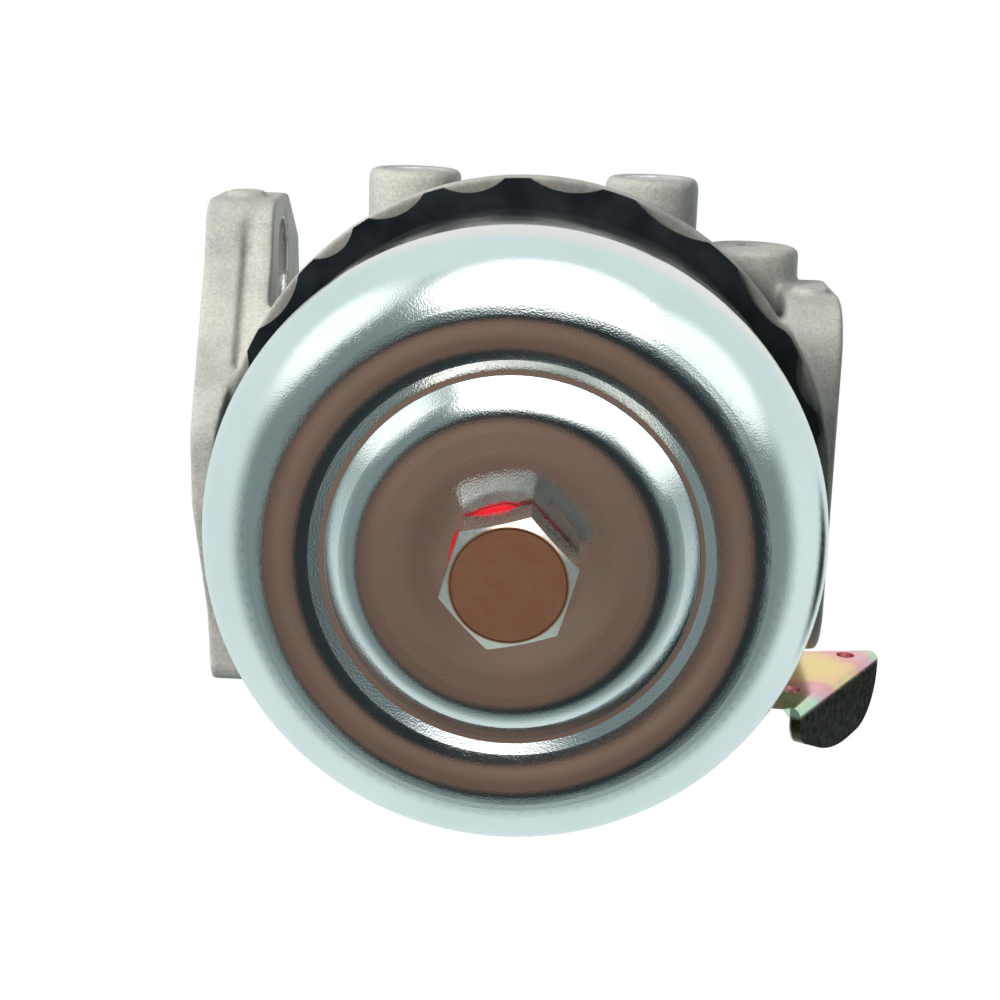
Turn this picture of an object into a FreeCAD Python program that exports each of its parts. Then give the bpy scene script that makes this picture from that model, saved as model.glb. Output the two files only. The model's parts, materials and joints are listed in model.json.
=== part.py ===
import FreeCAD, Part
import math
import os
import re
import Sketcher
from FreeCAD import Placement, Rotation, Vector

# Side-draft float-bowl carburetor. Millimetres, +Z up, the float bowl below.
# The origin is the centre of the bore on the mounting face of the engine flange,
# and +X runs along the bore towards the air inlet.

SIZES = {
    # engine flange
    "flange_thickness": 8.8,
    "flange_half_length": 33.0,
    "flange_end_half_width": 8.5,
    "flange_mid_half_width": 20.5,
    "flange_mid_flat": 5.0,
    "slot_spacing": 49.0,
    "slot_length": 11.0,
    "slot_width": 8.4,
    # barrel
    "body_length": 80.6,
    "throttle_bore": 10.0,
    "throat_bore": 7.6,
    "horn_bore": 11.3,
    "barrel_radius": 14.0,
    "horn_radius": 15.5,
    # horn flange
    "horn_plate": 7.0,
    "horn_half_width": 19.0,
    "horn_end_near": 24.2,
    "horn_end_far": 22.0,
    "horn_slope": 4.0,
    "horn_hole_y": 17.0,
    "horn_hole_z": 13.0,
    "horn_hole_radius": 2.1,
    "horn_hole_depth": 5.5,
    # float bowl and rim
    "bowl_x": 41.5,
    "rim_z": -17.0,
    "rim_radius": 38.0,
    "rim_height": 4.8,
    "spigot_height": 2.0,
    "gasket": 1.2,
    "bowl_radius": 35.3,
    "bowl_wall": 1.0,
    "bowl_taper": 0.8,
    "bowl_dimple": 0.42,
    "bowl_depth": 40.5,
    "column_radius": 6.5,
    # side bosses
    "boss_offset": 15.2,
    "boss_radius": 5.95,
    "boss_end": 37.5,
    "boss_z": -4.0,
    "boss_edge": 0.9,
    # sealed passages and the vent
    "plug_x": 27.5,
    "plug_z": 14.0,
    "vent_x": 63.0,
    "vent_y": 5.0,
    # throttle
    "throttle_x": 14.0,
    "throttle_shaft": 3.0,
    "throttle_boss_top": 21.0,
    "throttle_lever_z": 22.0,
    "throttle_screw_z": 4.5,
    "low_bushing_z": -14.0,
    "speed_screw_x": 12.7,
    "speed_screw_z": 4.9,
    "lever_sheet": 1.5,
    # choke
    "choke_x": 70.1,
    "choke_shaft": 2.8,
    "choke_boss_radius": 6.3,
    "choke_boss_end": 28.8,
    "choke_lever_y": 24.9,
    "choke_sheet": 1.4,
    "choke_screw_y": 5.0,
    "detent_y": -20.0,
    # running clearances
    "shaft_play": 0.05,
    "plate_gap": 0.25,
    "plate_sheet": 1.0,
    # needles
    "main_boss_top": 24.0,
    "main_thread": 2.5,
    "main_head_z": 33.5,
    "idle_x": 9.0,
    "idle_y": 9.6,
    "idle_boss_top": 21.0,
    "idle_thread": 2.0,
    "idle_head_z": 28.2,
    "nozzle_z": -42.5,
    # float and inlet
    "float_outer": 30.5,
    "float_inner": 10.5,
    "float_top": -29.0,
    "float_height": 14.0,
    "hinge_y": 27.5,
    "hinge_z": -22.0,
    "pin_radius": 0.8,
    "seat_y": 18.0,
    "seat_boss_z": -22.0,
    "inlet_z": -7.0,
    "inlet_face": 38.5,
    # bowl bolt
    "bolt_across_flats": 13.0,
    "bolt_head": 6.3,
    "bolt_shank": 4.0,
    "washer": 1.2,
}

doc = FreeCAD.newDocument("Carburetor")
sheet = doc.addObject("Spreadsheet::Sheet", "Sizes")
for row, (alias, number) in enumerate(SIZES.items(), start=1):
    sheet.set(f"A{row}", alias.replace("_", " "))
    sheet.set(f"B{row}", str(number))
    sheet.setAlias(f"B{row}", alias)
doc.recompute()

TURNS = {
    "+Z": Rotation(),
    "-Z": Rotation(Vector(1, 0, 0), 180),
    "+X": Rotation(Vector(0, 1, 0), 90),
    "-X": Rotation(Vector(0, 1, 0), -90),
    "+Y": Rotation(Vector(1, 0, 0), -90),
    "-Y": Rotation(Vector(1, 0, 0), 90),
}


def formula(text):
    """A sheet expression, with each alias written as Sizes.alias."""
    def with_sheet(word):
        return "Sizes." + word[0] if word[0] in SIZES else word[0]
    return re.sub(r"[a-z][a-z_0-9]+", with_sheet, str(text))


def number(text):
    """The value of a sheet expression."""
    value = sheet.evalExpression(formula(text))
    return float(getattr(value, "Value", value))


def bind(item, **properties):
    for name, text in properties.items():
        item.setExpression(name, formula(text))


def put(item, at, axis="+Z"):
    """Turn an object so that its own Z runs along axis, with its origin at a point of sheet expressions."""
    item.Placement = Placement(Vector(*[number(text) for text in at]), TURNS[axis])
    for letter, text in zip("xyz", at):
        item.setExpression("Placement.Base." + letter, formula(text))
    return item


def rod(name, radius, length, at, axis="+Z"):
    item = doc.addObject("Part::Cylinder", name)
    bind(item, Radius=radius, Height=length)
    return put(item, at, axis)


def taper(name, radius1, radius2, length, at, axis="+Z"):
    item = doc.addObject("Part::Cone", name)
    bind(item, Radius1=radius1, Radius2=radius2, Height=length)
    return put(item, at, axis)


def block(name, size, at):
    """A box from its lowest corner."""
    item = doc.addObject("Part::Box", name)
    bind(item, Length=size[0], Width=size[1], Height=size[2])
    return put(item, at)


def joined(name, pieces):
    item = doc.addObject("Part::MultiFuse", name)
    item.Shapes = pieces
    return item


def cut(name, base, tools):
    item = doc.addObject("Part::Cut", name)
    item.Base = base
    item.Tool = tools[0] if len(tools) == 1 else joined(name + "_tools", tools)
    return item


def rounded(name, base, radius, chosen):
    """Fillet the edges that a test accepts."""
    doc.recompute()
    item = doc.addObject("Part::Fillet", name)
    item.Base = base
    item.Edges = [(i, radius, radius) for i, edge in enumerate(base.Shape.Edges, start=1) if chosen(edge)]
    return item


def runs_along(axis):
    """A test for straight edges parallel to an axis."""
    def test(edge):
        if len(edge.Vertexes) < 2 or edge.Curve.TypeId != "Part::GeomLine":
            return False
        return abs(edge.tangentAt(edge.FirstParameter).dot(axis)) > 0.999
    return test


def origin_plane(body, role):
    return next(plane for plane in body.Origin.OriginFeatures if plane.Role == role)


def outline(body, name, plane, corners):
    """A closed sketch of straight lines; each corner is a pair of sheet expressions."""
    sketch = body.newObject("Sketcher::SketchObject", name)
    sketch.AttachmentSupport = [(origin_plane(body, plane), "")]
    sketch.MapMode = "FlatFace"
    points = [Vector(number(u), number(v), 0) for u, v in corners]
    count = len(points)
    for i in range(count):
        sketch.addGeometry(Part.LineSegment(points[i], points[(i + 1) % count]), False)
    for i in range(count):
        sketch.addConstraint(Sketcher.Constraint("Coincident", i, 2, (i + 1) % count, 1))
    for i, pair in enumerate(corners):
        for kind, axis_line, text in (("DistanceX", -2, pair[0]), ("DistanceY", -1, pair[1])):
            distance = number(text)
            if abs(distance) < 1e-9:
                sketch.addConstraint(Sketcher.Constraint("PointOnObject", i, 1, axis_line))
                continue
            index = sketch.addConstraint(Sketcher.Constraint(kind, -1, 1, i, 1, distance))
            sketch.setExpression(f"Constraints[{index}]", formula(text))
    return sketch


def turned(name, corners, at=("0", "0", "0"), axis="+Z"):
    """A body of revolution about its own Z from a half profile of (radius, height) corners."""
    body = doc.addObject("PartDesign::Body", name)
    sketch = outline(body, name + "_profile", "XZ_Plane", corners)
    spin = body.newObject("PartDesign::Revolution", name + "_turned")
    spin.Profile = sketch
    spin.ReferenceAxis = (sketch, ["V_Axis"])
    spin.Angle = 360
    return put(body, at, axis)


def plate(name, corners, thickness, at=("0", "0", "0"), axis="+Z"):
    """A flat body padded along its own Z from an outline."""
    body = doc.addObject("PartDesign::Body", name)
    sketch = outline(body, name + "_outline", "XY_Plane", corners)
    pad = body.newObject("PartDesign::Pad", name + "_pad")
    pad.Profile = sketch
    bind(pad, Length=thickness)
    return put(body, at, axis)


def hexagon(name, across_flats, length, at, axis="+Z", chamfer=0.0, spin=0.0):
    """A hexagonal prism; a chamfer takes the corners off its far end, and spin turns it about its axis."""
    prism = doc.addObject("Part::Prism", name)
    prism.Polygon = 6
    bind(prism, Circumradius=f"({across_flats}) / sqrt(3)", Height=length)
    put(prism, at, axis)
    prism.Placement.Rotation = TURNS[axis].multiply(Rotation(Vector(0, 0, 1), spin))
    if not chamfer:
        return prism
    cone = taper(name + "_chamfer", f"({across_flats}) / 2 + ({length}) * 1.8",
                 f"({across_flats}) / 2 - {chamfer}", length, at, axis)
    crowned = doc.addObject("Part::Common", name + "_crowned")
    crowned.Base = prism
    crowned.Tool = cone
    return crowned


def spring(name, radius, wire, length, turns, at, axis="+Z"):
    """A coil of round wire, radius wire, swept along a helix of radius radius."""
    helix = doc.addObject("Part::Helix", name + "_helix")
    bind(helix, Pitch=f"({length}) / {turns}", Height=length, Radius=radius)
    section = doc.addObject("Part::Circle", name + "_wire")
    bind(section, Radius=wire)
    section.Placement = Placement(Vector(number(radius), 0, 0), Rotation(Vector(1, 0, 0), 90))
    doc.recompute()
    coil = doc.addObject("Part::Sweep", name)
    coil.Sections = [section]
    coil.Spine = (helix, [f"Edge{i}" for i in range(1, len(helix.Shape.Edges) + 1)])
    coil.Solid = True
    coil.Frenet = True
    return put(coil, at, axis)


# the bottom of the bowl, and the lower end of the column that the bowl bolt pulls it against
BOWL_END = "(rim_z - bowl_depth)"
COLUMN_END = "(rim_z - bowl_depth + bowl_wall + 0.6)"


# ---------------------------------------------------------------- body casting

def engine_flange():
    """A two-stud flange, as cast: a blunt end at -Y, a rounder one at +Y, and a groove in its lower edge."""
    length = "flange_half_length"
    middle = "flange_mid_half_width"
    low_end = "flange_end_half_width"
    lower = [(f"-{length}", low_end), (f"7 - {length}", f"{low_end} + 1.5"), ("-flange_mid_flat", middle),
             ("flange_mid_flat - 0.5", f"{middle} - 1"), (f"{length} - 11", low_end),
             (length, f"{low_end} - 3")]
    upper = [(length, f"-{low_end}"), (f"{length} - 10", f"-{low_end} - 3"),
             ("flange_mid_flat", f"-{middle}"), ("-flange_mid_flat", f"-{middle}"),
             (f"6.5 - {length}", f"-{low_end} - 6.5"), (f"-{length}", "-5")]
    blank = plate("flange_blank", [(depth, y) for y, depth in lower + upper], "flange_thickness", axis="+X")
    along = runs_along(Vector(1, 0, 0))
    limit = number("flange_half_length") - 1
    ends = rounded("flange_ends", blank, 3.6, lambda edge: along(edge) and abs(edge.CenterOfMass.y) > limit)
    flange = rounded("flange_round", ends, 6.0, lambda edge: along(edge) and abs(edge.CenterOfMass.y) < 6)
    course = [(f"{low_end} - 0.2", f"-{length}"), (f"{low_end} + 0.4", f"7 - {length}"),
              (f"{middle} - 1.3", "-flange_mid_flat"), (f"{middle} + 1", "-flange_mid_flat"),
              (f"{low_end} + 2.5", f"7 - {length}"), (f"{low_end} + 1", f"-{length}")]
    groove = plate("flange_groove", course, "1.8", ("flange_thickness - 4", "0", "0"), "+X")
    return cut("flange_plate", flange, [groove])


def flange_slots():
    slots = []
    length = "flange_thickness + 2"
    half = "(slot_length - slot_width) / 2"
    for side, name in ((-1, "slot_near"), (1, "slot_far")):
        middle = f"{side} * slot_spacing / 2"
        slots.append(rod(name + "_inner", "slot_width / 2", length, ("-1", f"{middle} - {half}", "0"), "+X"))
        slots.append(rod(name + "_outer", "slot_width / 2", length, ("-1", f"{middle} + {half}", "0"), "+X"))
        slots.append(block(name + "_middle", (length, "slot_length - slot_width", "slot_width"),
                           ("-1", f"{middle} - {half}", "-slot_width / 2")))
    return slots


def horn_flange():
    """A rounded plate whose -Y end slopes back towards the top."""
    corners = [("-horn_half_width", "-horn_end_near"), ("3", "-horn_end_near"),
               ("horn_half_width", "horn_slope - horn_end_near"), ("horn_half_width", "horn_end_far"),
               ("-horn_half_width", "horn_end_far")]
    blank = plate("horn_blank", [(f"-({z})", y) for z, y in corners], "horn_plate",
                  ("body_length - horn_plate", "0", "0"), "+X")
    along = runs_along(Vector(1, 0, 0))
    corner = number("horn_half_width") - 1
    return rounded("horn_plate_rounded", blank, 7.0,
                   lambda edge: along(edge) and abs(edge.CenterOfMass.z) > corner)


def horn_holes():
    return [rod(f"horn_hole_{i}", "horn_hole_radius", "horn_hole_depth + 1",
                ("body_length + 1", f"{y} * horn_hole_y", f"{z} * horn_hole_z"), "-X")
            for i, (y, z) in enumerate(((-1, -1), (1, -1), (1, 1), (-1, 1)))]


def flange_ribs():
    """Cast webs behind the engine flange, which run down to the bowl rim."""
    ribs = []
    for side in (-1, 1):
        corners = [("flange_thickness - 1", "rim_z + 0.5"), ("flange_thickness + 8", "rim_z + 0.5"),
                   ("flange_thickness + 8", "rim_z + 4.5"),
                   ("flange_thickness - 1", "-flange_end_half_width + 4")]
        at = ("0", f"{side} * 15 - 2", "0")
        ribs.append(plate("rib", [(x, f"-({z})") for x, z in corners], "4", at, "+Y"))
    return ribs


def near_boss(name, radius, end, at):
    """A round boss that points along -Y, with the corner of its end rounded."""
    blank = rod(name, radius, f"{end} - 6", at, "-Y")
    limit = 0.1 - number(end)
    return rounded(name + "_rounded", blank, number("boss_edge"), lambda edge: edge.CenterOfMass.y < limit)


def side_bosses():
    """Two round bosses level with each other each side of the bowl axis, and one round the choke shaft."""
    bosses = [near_boss("boss", "boss_radius", "boss_end", (f"bowl_x + {side} * boss_offset", "-6", "boss_z"))
              for side in (-1, 1)]
    bosses.append(near_boss("choke_boss_near", "choke_boss_radius", "choke_boss_end", ("choke_x", "-6", "0")))
    return bosses


def bore():
    """The air passage: throttle bore, venturi, horn bore and a chamfered mouth."""
    profile = [("0", "-1"), ("throttle_bore", "-1"), ("throttle_bore", "30"), ("throat_bore", "38"),
               ("throat_bore", "45.5"), ("horn_bore", "57.5"), ("horn_bore", "body_length - 1.6"),
               ("horn_bore + 2.6", "body_length + 1"), ("0", "body_length + 1")]
    return turned("bore", profile, axis="+X")


def body_casting():
    rim = rod("rim", "rim_radius", "rim_height", ("bowl_x", "0", "rim_z"))
    top = number("rim_z") + number("rim_height")
    rim = rounded("rim_rounded", rim, 1.2, lambda edge: edge.CenterOfMass.z > top - 0.1)
    below_rim = rod("below_rim", "rim_radius + 0.4", "20", ("bowl_x", "0", "rim_z - 20"))
    solids = [
        cut("flange_relieved", engine_flange(), [below_rim]),
        rod("barrel", "barrel_radius", "28", ("5", "0", "0"), "+X"),
        taper("barrel_waist", "barrel_radius", "horn_radius", "19", ("33", "0", "0"), "+X"),
        rod("horn", "horn_radius", "24", ("52", "0", "0"), "+X"),
        cut("horn_relieved", horn_flange(), [below_rim]),
        rim,
        rod("spigot", "bowl_radius - bowl_taper - bowl_wall - 0.3", "spigot_height",
            ("bowl_x", "0", "rim_z - spigot_height")),
        block("saddle", ("62", "22", "8"), ("9", "-11", "rim_z + 1")),
        rod("column", "column_radius", f"rim_z - {COLUMN_END} + 1", ("bowl_x", "0", COLUMN_END)),
        rod("seat_boss", "6.5", "rim_z - seat_boss_z + 1", ("bowl_x", "seat_y", "seat_boss_z")),
        rod("throttle_boss", "6.5", "throttle_boss_top", ("throttle_x", "0", "0")),
        rod("main_boss", "5.5", "main_boss_top - 9", ("bowl_x", "0", "9")),
        rod("idle_boss", "4.5", "idle_boss_top - 5", ("idle_x", "idle_y", "5")),
        rod("plug_pad", "6.3", "6", ("plug_x", "0", "plug_z - 4.5")),
        block("idle_stop", ("5", "4", "21"), ("24.5", "9.3", "9")),
        block("idle_stop_foot", ("7", "8", "9"), ("23.5", "5.5", "5")),
        rod("choke_boss_far", "choke_boss_radius", "choke_lever_y - 6.6", ("choke_x", "6", "0"), "+Y"),
        rod("detent_boss", "3.6", "10", ("choke_x", "detent_y", "3.5")),
        rod("inlet_boss", "6.5", "inlet_face - 10", ("bowl_x", "10", "inlet_z"), "+Y"),
        rod("horn_mark", "2.3", "3", ("body_length - horn_plate / 2", "2.2 - horn_end_near", "-10.5"), "-Y"),
        rod("flange_mark", "2.4", "3", ("flange_thickness / 2", "2.2 - flange_half_length", "-3"), "-Y"),
    ]
    solids += side_bosses()
    solids += flange_ribs()
    for side in (-1, 1):
        solids.append(block("hinge_post", ("3", "6", "rim_z - hinge_z + 4"),
                            (f"bowl_x + {side} * 9.5 - 1.5", "hinge_y - 3", "hinge_z - 3")))
    holes = [
        bore(),
        rod("throttle_shaft_hole", "throttle_shaft + shaft_play", "36.5",
            ("throttle_x", "0", "low_bushing_z")),
        rod("top_bushing_hole", "4.2", "9", ("throttle_x", "0", "throttle_boss_top - 8")),
        rod("low_bushing_hole", "4.2", "6", ("throttle_x", "0", "low_bushing_z")),
        rod("choke_shaft_hole", "choke_shaft + shaft_play", "60",
            ("choke_x", "2 - choke_boss_end", "0"), "+Y"),
        rod("choke_boss_drill", "1.7", "4", ("choke_x", "-choke_boss_end - 1", "0.6"), "+Y"),
        rod("bolt_hole", "bolt_shank", "9", ("bowl_x", "0", COLUMN_END + " - 1")),
        rod("well_hole", "3.4", "45", ("bowl_x", "0", COLUMN_END + " + 4")),
        rod("well_port", "1.2", "16", ("bowl_x - 8", "0", "-47.3"), "+X"),
        rod("main_needle_hole", "main_thread + shaft_play", "30", ("bowl_x", "0", "0")),
        rod("idle_needle_hole", "idle_thread + shaft_play", "14", ("idle_x", "idle_y", "8")),
        rod("idle_port", "0.7", "10", ("idle_x", "idle_y", "0")),
        rod("seat_hole", "4", "13", ("bowl_x", "seat_y", "seat_boss_z - 1")),
        rod("inlet_passage", "1.8", "25", ("bowl_x", "seat_y - 0.5", "inlet_z"), "+Y"),
        rod("seat_feed", "1.4", "5", ("bowl_x", "seat_y", "-11.5")),
        rod("inlet_thread", "4", "10", ("bowl_x", "inlet_face - 9", "inlet_z"), "+Y"),
        rod("plug_seat", "4.8", "2", ("plug_x", "0", "plug_z")),
        rod("vent_hole", "2", "9", ("vent_x", "vent_y", "rim_z - 0.5")),
        rod("vent_spigot_hole", "2", "4", ("vent_x", "vent_y", "rim_z - 3")),
        rod("detent_hole", "1.7", "12", ("choke_x", "detent_y", "2.4")),
        rod("hinge_pin_hole", "pin_radius", "30", ("bowl_x - 15", "hinge_y", "hinge_z"), "+X"),
    ]
    for side in (-1, 1):
        x = f"bowl_x + {side} * boss_offset"
        holes.append(rod("boss_hole", "3.4", "3", (x, "-boss_end - 1", "boss_z"), "+Y"))
        holes.append(rod("boss_drill", "1.2", "20", (x, "-boss_end", "boss_z"), "+Y"))
    holes += flange_slots() + horn_holes()
    return cut("body_casting", joined("casting_solid", solids), holes)


# ---------------------------------------------------------------- bowl and its bolt

def circle_radius(edge):
    return round(edge.Curve.Radius, 2) if edge.Curve.TypeId == "Part::GeomCircle" else 0


def float_bowl():
    """A pressed cup: a wall that draws in towards the rim, a wide shoulder, a soft ring, a groove, and a disc
    with a shallow dimple round its hole."""
    rings = [("8.2", "bowl_dimple"), ("11.6", "0"), ("16.9", "0"), ("20.3", "2.55"), ("20.9", "2.55"),
             ("24.95", "0.5"), ("bowl_radius", "5.2")]
    profile = [("0", BOWL_END)]
    profile += [(radius, f"{BOWL_END} - bowl_dimple + {rise}") for radius, rise in rings]
    profile += [("bowl_radius - bowl_taper", "rim_z - gasket"), ("0", "rim_z - gasket")]
    form = turned("bowl_form", profile, ("bowl_x", "0", "0"))
    doc.recompute()
    bends = {8.2: 5.0, 11.6: 14.0, 16.9: 6.6, 20.3: 0.25, 24.95: 6.8, number("bowl_radius"): 11.0}
    low = number(BOWL_END) + 10
    soft = doc.addObject("Part::Fillet", "bowl_soft")
    soft.Base = form
    soft.Edges = [(i, bends[circle_radius(edge)], bends[circle_radius(edge)])
                  for i, edge in enumerate(form.Shape.Edges, start=1)
                  if circle_radius(edge) in bends and edge.CenterOfMass.z < low]
    doc.recompute()
    shell = doc.addObject("Part::Thickness", "bowl_shell")
    top = max(range(len(soft.Shape.Faces)), key=lambda i: soft.Shape.Faces[i].CenterOfMass.z)
    shell.Faces = (soft, [f"Face{top + 1}"])
    shell.setExpression("Value", formula("-bowl_wall"))
    shell.Join = 0
    hole = rod("bowl_hole", "bolt_shank + 0.3", "6", ("bowl_x", "0", BOWL_END + " - 2"))
    return cut("float_bowl", shell, [hole])


def bowl_gasket():
    """A flat ring whose edge has shallow scallops between uneven lobes."""
    reach = number("rim_radius") - 0.15
    depth = 1.35
    lobes = [-154, -136, -123.5, -108.5, -93, -74, -51, -29, -14] + [-14 + 16.92 * i for i in range(1, 13)]
    scallops = []
    for start, end in zip(lobes, lobes[1:] + [lobes[0] + 360]):
        half_chord = 0.8 * reach * math.sin(math.radians(end - start) / 2)
        radius = (half_chord ** 2 + depth ** 2) / (2 * depth)
        middle = math.radians(start + end) / 2
        away = reach - depth + radius
        at = (f"bowl_x + {away * math.cos(middle)}", f"{away * math.sin(middle)}", "rim_z - gasket - 1")
        scallops.append(rod("scallop", f"{radius}", "gasket + 2", at))
    ring = rod("gasket_disc", "rim_radius - 0.15", "gasket", ("bowl_x", "0", "rim_z - gasket"))
    opening = rod("gasket_opening", "bowl_radius - bowl_taper - bowl_wall - 0.25", "gasket + 2",
                  ("bowl_x", "0", "rim_z - gasket - 1"))
    return cut("bowl_gasket", ring, [opening, joined("scallops", scallops)])


def bowl_bolt():
    seat = f"{BOWL_END} - washer"
    head = hexagon("bolt_hexagon", "bolt_across_flats", "bolt_head", ("bowl_x", "0", seat), "-Z", 0.25, 14.0)
    shank = rod("bolt_shank_rod", "bolt_shank", f"{COLUMN_END} + 7.4 - ({seat})", ("bowl_x", "0", seat))
    return joined("bowl_bolt", [head, shank])


def washer_ring(name, outer, inner, thickness, at, axis="+Z"):
    return turned(name, [(inner, "0"), (outer, "0"), (outer, thickness), (inner, thickness)], at, axis)


def bowl_bolt_washer():
    """Loose on the shank, so it sits off centre."""
    return washer_ring("bowl_bolt_washer", "7.4", "bolt_shank + 0.6", "washer - 0.02",
                       ("bowl_x - 0.4", "-0.3", f"{BOWL_END} - washer + 0.01"))


def column_gasket():
    return washer_ring("column_gasket", "6.4", "bolt_shank + 0.2", "0.58",
                       ("bowl_x", "0", f"{COLUMN_END} - 0.59"))


# ---------------------------------------------------------------- fuel metering

def main_nozzle():
    profile = [("1.9", "0"), ("3.4", "0"), ("3.4", "34.5"), ("2.6", "34.5"), ("2.6", "40"), ("1.9", "40")]
    return turned("main_nozzle", profile, ("bowl_x", "0", "nozzle_z"))


def main_jet():
    profile = [("0.9", "0"), ("1.8", "-1"), ("1.8", "-2.5"), ("3.4", "-2.5"), ("3.4", "0")]
    return turned("main_jet", profile, ("bowl_x", "0", "nozzle_z - 0.1"))


def knob(name, radius, length, slot, at):
    """A round head with a flat-bottomed slot across its top."""
    head = turned(name + "_round", [("0", "0"), (radius, "0"), (radius, f"({length}) - 0.5"),
                                    (f"({radius}) - 0.5", length), ("0", length)], at)
    slot_cut = block(name + "_slot", (f"2 * ({radius}) + 2", slot, "1.4"),
                     (f"{at[0]} - ({radius}) - 1", f"{at[1]} - ({slot}) / 2", f"{at[2]} + ({length}) - 1.2"))
    return cut(name, head, [slot_cut])


def main_mixture_needle():
    profile = [("0", "-43.4"), ("0.5", "-43"), ("1.1", "-39"), ("1.1", "5"), ("main_thread", "8"),
               ("main_thread", "main_head_z + 0.5"), ("0", "main_head_z + 0.5")]
    stem = turned("main_needle_stem", profile, ("bowl_x", "0", "0"))
    head = knob("main_needle_head", "4.5", "6", "1.2", ("bowl_x", "0", "main_head_z"))
    return joined("main_mixture_needle", [stem, head])


def idle_mixture_needle():
    profile = [("0", "5.6"), ("0.55", "6.2"), ("0.6", "8.2"), ("1.2", "9.5"), ("idle_thread", "11"),
               ("idle_thread", "idle_head_z + 0.3"), ("0", "idle_head_z + 0.3")]
    stem = turned("idle_needle_stem", profile, ("idle_x", "idle_y", "0"))
    head = knob("idle_needle_head", "3.5", "5", "1", ("idle_x", "idle_y", "idle_head_z"))
    return joined("idle_mixture_needle", [stem, head])


def screw_spring(name, radius, wire, space, turns, at, axis="+Z"):
    """A coil that fills a space between two faces, clear of both by 0.05."""
    x, y, z = at
    inset = f"({wire}) * 1.08 + 0.05"
    start = (x, f"{y} - ({inset})", z) if axis == "-Y" else (x, y, f"{z} + {inset}")
    return spring(name, radius, wire, f"({space}) - 2 * ({inset})", turns, start, axis)


# ---------------------------------------------------------------- throttle

def screw_holes(name, at, axis, length):
    """Clearance holes for a plate's two screws; at(side) gives each one's start."""
    return [rod(name, "1.3", length, at(side), axis) for side in (-1, 1)]


def throttle_shaft():
    end = "low_bushing_z + 0.4"
    shaft = rod("throttle_round", "throttle_shaft", f"throttle_lever_z + lever_sheet - ({end})",
                ("throttle_x", "0", end))
    flat = block("throttle_flat", ("6", "8", "2 * throttle_bore + 0.4"),
                 ("throttle_x", "-4", "-throttle_bore - 0.2"))
    drill = rod("throttle_tip_hole", "1.5", "7", ("throttle_x", "0", "throttle_lever_z + lever_sheet - 6.9"))
    holes = screw_holes("throttle_screw_hole",
                        lambda side: ("throttle_x - 3.5", "0", f"{side} * throttle_screw_z"), "+X", "4")
    return cut("throttle_shaft", shaft, [flat, drill] + holes)


def throttle_plate():
    disc = rod("throttle_disc", "throttle_bore - plate_gap", "plate_sheet",
               ("throttle_x + 0.02", "0", "0"), "+X")
    holes = screw_holes("throttle_plate_hole",
                        lambda side: ("throttle_x - 1", "0", f"{side} * throttle_screw_z"), "+X", "3")
    return cut("throttle_plate", disc, holes)


def small_screw(name, length, at, axis, slot):
    """A pan-head screw from the face it clamps: head outwards along axis, shank the other way."""
    head = 2.2
    shank = 1.3
    body = turned(name, [("0", "1.1"), (head / 2, "1.1"), (head, "0.5"), (head, "0"), (shank, "0"),
                         (shank, f"-({length})"), ("0", f"-({length})")], at, axis)
    return cut(name + "_slotted", body, [slot])


def throttle_plate_screws():
    screws = []
    for side in (-1, 1):
        z = f"{side} * throttle_screw_z"
        slot = block("throttle_screw_slot", ("2", "0.6", "6"),
                     ("throttle_x + plate_sheet + 0.62", "-0.3", f"{z} - 3"))
        face = ("throttle_x + plate_sheet + 0.03", "0", z)
        screws.append(small_screw("throttle_screw", "3.4", face, "+X", slot))
    return joined("throttle_plate_screws", screws)


def throttle_lever():
    """A flat arm for the linkage, a hub, and an ear bent up for the idle speed screw."""
    hub = rod("throttle_hub", "6", "lever_sheet", ("throttle_x", "0", "throttle_lever_z"))
    corners = [("-4", "-5"), ("12", "-22.5"), ("20.5", "-17"), ("14", "-4.5"), ("16.2", "3.8"), ("0", "5.5")]
    arm = plate("throttle_arm", corners, "lever_sheet", ("throttle_x", "0", "throttle_lever_z"))
    arm = rounded("throttle_arm_round", arm, 2.2, lambda edge: runs_along(Vector(0, 0, 1))(edge)
                  and edge.CenterOfMass.x > number("throttle_x") + 8)
    ear = block("throttle_ear", ("7", "1.5", "8.5"), ("throttle_x + 9.2", "2.3", "throttle_lever_z"))
    ear = rounded("throttle_ear_round", ear, 2.5, lambda edge: runs_along(Vector(0, 1, 0))(edge)
                  and edge.CenterOfMass.z > number("throttle_lever_z") + 8)
    hub_hole = rod("throttle_hub_hole", "throttle_shaft", "4", ("throttle_x", "0", "throttle_lever_z - 1"))
    link_holes = [rod("throttle_link_hole", "1.2", "4", (f"throttle_x + {x}", f"{y}", "throttle_lever_z - 1"))
                  for x, y in ((15.4, -17.8), (12.4, -13.6))]
    ear_hole = rod("throttle_ear_hole", "idle_thread + shaft_play", "4",
                   ("throttle_x + speed_screw_x", "1", "throttle_lever_z + speed_screw_z"), "+Y")
    blank = joined("throttle_lever_blank", [hub, arm, ear])
    return cut("throttle_lever", blank, [hub_hole, ear_hole] + link_holes)


def throttle_lever_screw():
    top = "throttle_lever_z + lever_sheet"
    profile = [("0", "2.2"), ("2.6", "2.2"), ("3.8", "1.4"), ("3.8", "0"), ("1.5", "0"), ("1.5", "-6.5"),
               ("0", "-6.5")]
    body = turned("lever_screw", profile, ("throttle_x", "0", top))
    slot = block("lever_screw_slot", ("9", "0.9", "2"), ("throttle_x - 4.5", "-0.45", f"{top} + 1.3"))
    return cut("throttle_lever_screw", body, [slot])


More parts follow.
